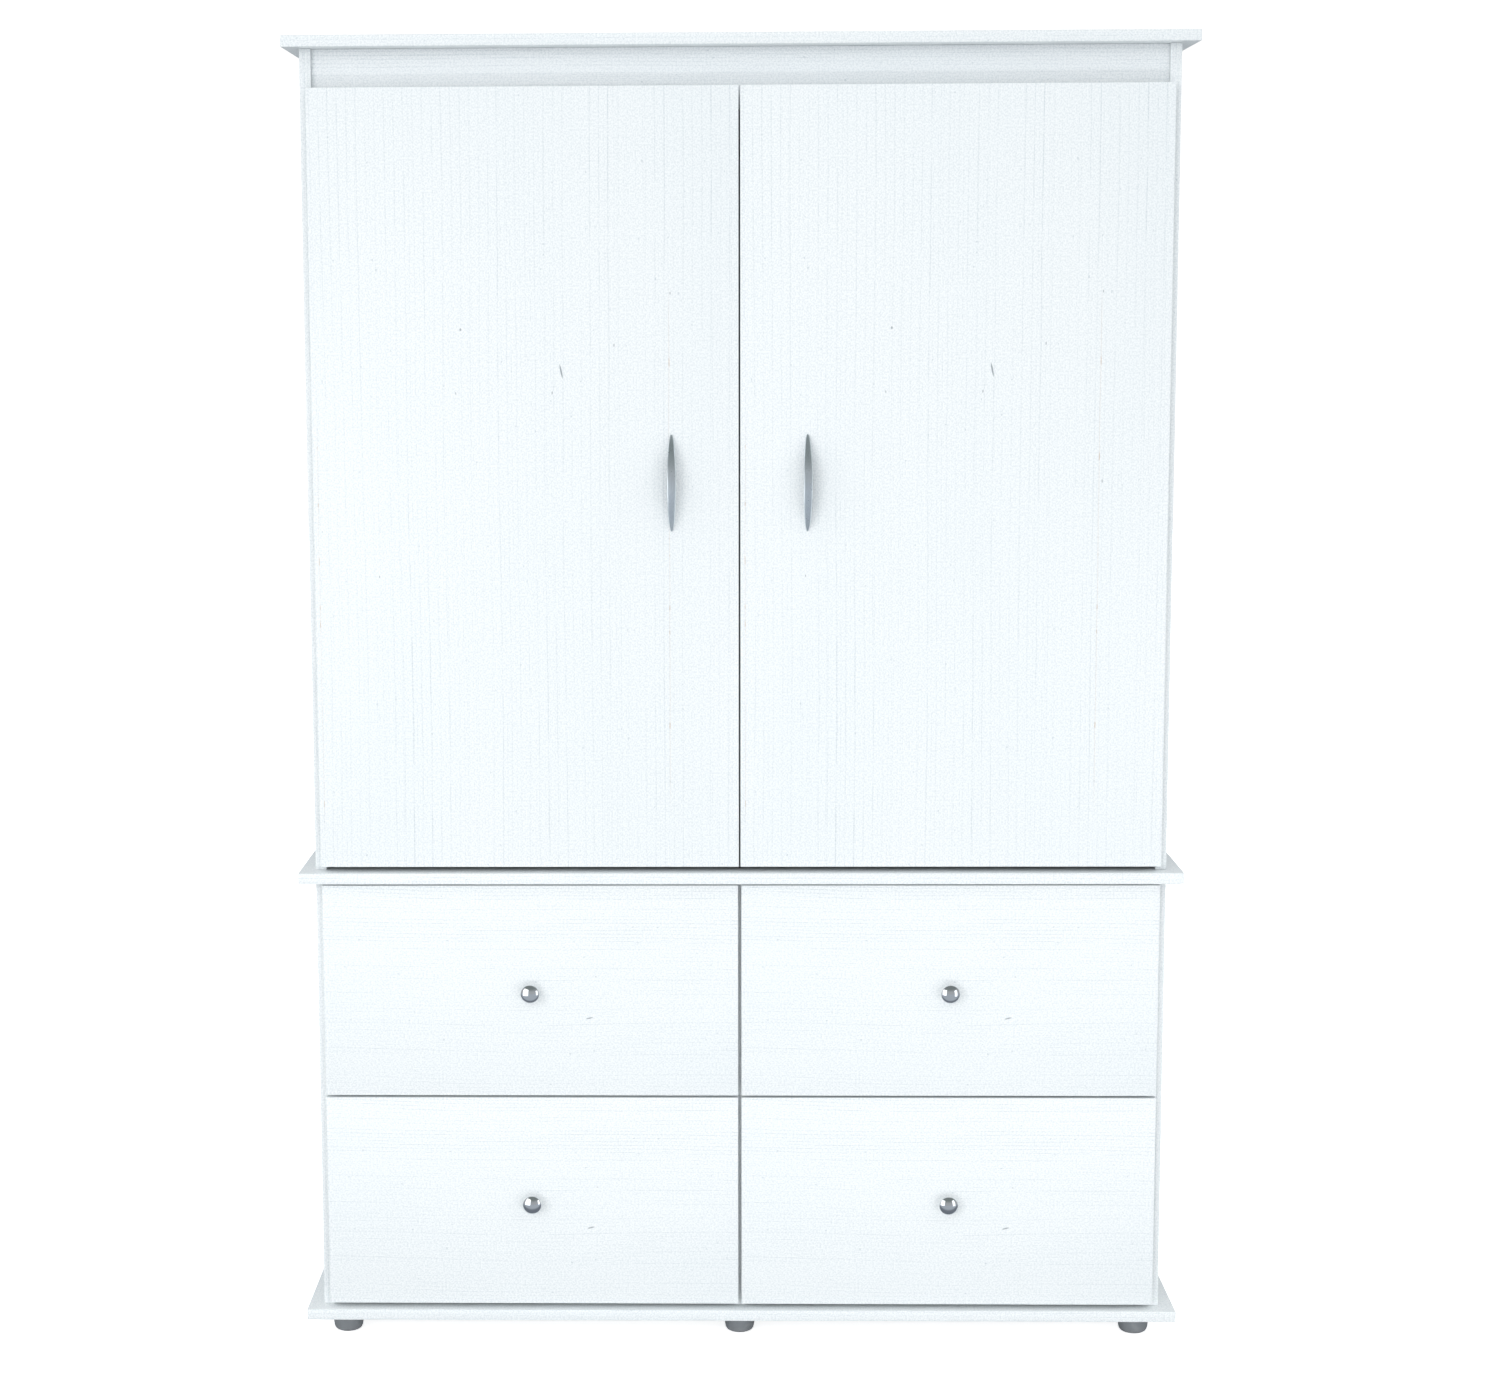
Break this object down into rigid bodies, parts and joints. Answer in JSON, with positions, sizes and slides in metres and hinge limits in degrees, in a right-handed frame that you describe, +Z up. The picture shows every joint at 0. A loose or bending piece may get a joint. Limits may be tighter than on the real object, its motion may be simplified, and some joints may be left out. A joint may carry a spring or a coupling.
{
  "type": "armoire",
  "caption": "Armoire in whitewashed board: hanging cupboard with overlay doors and bow handles above a chest of drawers with round knobs, on low feet.",
  "frame": {"origin": "on the floor, in the middle of the armoire's bounding box", "axes": "+Z up; the doors and drawers face -Y; +X towards the right door as seen from the front"},
  "size_m": [1.2, 0.52, 1.775],
  "materials": {
    "whitewashed_board": "whitewashed wood-grain melamine on particle board, satin",
    "back_hardboard": "white printed hardboard, matt",
    "drawer_wrap": "white foil-wrapped board, matt",
    "satin_metal": "satin nickel plated",
    "chrome": "polished chrome",
    "zinc_steel": "pressed steel, zinc plated",
    "grey_plastic": "moulded, matt grey"
  },
  "bodies": {
    "carcass": {"cornice_top": "whitewashed_board", "mid_board": "whitewashed_board", "base_board": "whitewashed_board", "top_rail": "whitewashed_board", "upper_side_left": "whitewashed_board", "upper_side_right": "whitewashed_board", "lower_side_left": "whitewashed_board", "lower_side_right": "whitewashed_board", "drawer_partition": "whitewashed_board", "upper_back": "back_hardboard", "lower_back": "back_hardboard", "foot_front_left": "grey_plastic", "foot_front_middle": "grey_plastic", "foot_front_right": "grey_plastic", "foot_rear_left": "grey_plastic", "foot_rear_middle": "grey_plastic", "foot_rear_right": "grey_plastic", "hanging_rod": "chrome", "rod_socket_left": "zinc_steel", "rod_socket_right": "zinc_steel", "hinge_arm_left_top": "zinc_steel", "hinge_arm_left_bottom": "zinc_steel", "hinge_arm_right_top": "zinc_steel", "hinge_arm_right_bottom": "zinc_steel", "slide_rail_upper_left_outer": "zinc_steel", "slide_rail_upper_left_inner": "zinc_steel", "slide_rail_upper_right_outer": "zinc_steel", "slide_rail_upper_right_inner": "zinc_steel", "slide_rail_lower_left_outer": "zinc_steel", "slide_rail_lower_left_inner": "zinc_steel", "slide_rail_lower_right_outer": "zinc_steel", "slide_rail_lower_right_inner": "zinc_steel"},
    "left_door": {"door_left": "whitewashed_board", "handle_left": "satin_metal", "hinge_cup_left_top": "zinc_steel", "hinge_cup_left_bottom": "zinc_steel"},
    "right_door": {"door_right": "whitewashed_board", "handle_right": "satin_metal", "hinge_cup_right_top": "zinc_steel", "hinge_cup_right_bottom": "zinc_steel"},
    "upper_left_drawer": {"drawer_front_upper_left": "whitewashed_board", "drawer_knob_upper_left": "chrome", "drawer_box_upper_left": "drawer_wrap", "drawer_floor_upper_left": "back_hardboard"},
    "upper_right_drawer": {"drawer_front_upper_right": "whitewashed_board", "drawer_knob_upper_right": "chrome", "drawer_box_upper_right": "drawer_wrap", "drawer_floor_upper_right": "back_hardboard"},
    "lower_left_drawer": {"drawer_front_lower_left": "whitewashed_board", "drawer_knob_lower_left": "chrome", "drawer_box_lower_left": "drawer_wrap", "drawer_floor_lower_left": "back_hardboard"},
    "lower_right_drawer": {"drawer_front_lower_right": "whitewashed_board", "drawer_knob_lower_right": "chrome", "drawer_box_lower_right": "drawer_wrap", "drawer_floor_lower_right": "back_hardboard"},
    "left_hinge_links": {"hinge_link_left_top": "zinc_steel", "hinge_link_left_bottom": "zinc_steel"},
    "right_hinge_links": {"hinge_link_right_top": "zinc_steel", "hinge_link_right_bottom": "zinc_steel"}
  },
  "joints": [
    {"name": "left_door_hinge", "type": "hinge", "parent": "carcass", "child": "left_door", "pos_m": [-0.5695, -0.2315, 1.18775], "axis": [0, 0, -1], "range_deg": [0, 100]},
    {"name": "left_hinge_links_turn", "type": "hinge", "parent": "carcass", "child": "left_hinge_links", "pos_m": [-0.5695, -0.2315, 1.18775], "axis": [0, 0, -1], "range_deg": [0, 50]},
    {"name": "right_door_hinge", "type": "hinge", "parent": "carcass", "child": "right_door", "pos_m": [0.5695, -0.2315, 1.18775], "axis": [0, 0, 1], "range_deg": [0, 100]},
    {"name": "right_hinge_links_turn", "type": "hinge", "parent": "carcass", "child": "right_hinge_links", "pos_m": [0.5695, -0.2315, 1.18775], "axis": [0, 0, 1], "range_deg": [0, 50]},
    {"name": "upper_left_drawer_slide", "type": "slide", "parent": "carcass", "child": "upper_left_drawer", "axis": [0, -1, 0], "range_m": [0, 0.33]},
    {"name": "upper_right_drawer_slide", "type": "slide", "parent": "carcass", "child": "upper_right_drawer", "axis": [0, -1, 0], "range_m": [0, 0.33]},
    {"name": "lower_left_drawer_slide", "type": "slide", "parent": "carcass", "child": "lower_left_drawer", "axis": [0, -1, 0], "range_m": [0, 0.33]},
    {"name": "lower_right_drawer_slide", "type": "slide", "parent": "carcass", "child": "lower_right_drawer", "axis": [0, -1, 0], "range_m": [0, 0.33]}
  ],
  "couplings": [
    {"joint": "left_hinge_links_turn", "follows": "left_door_hinge", "ratio": 0.5},
    {"joint": "right_hinge_links_turn", "follows": "right_door_hinge", "ratio": 0.5}
  ]
}
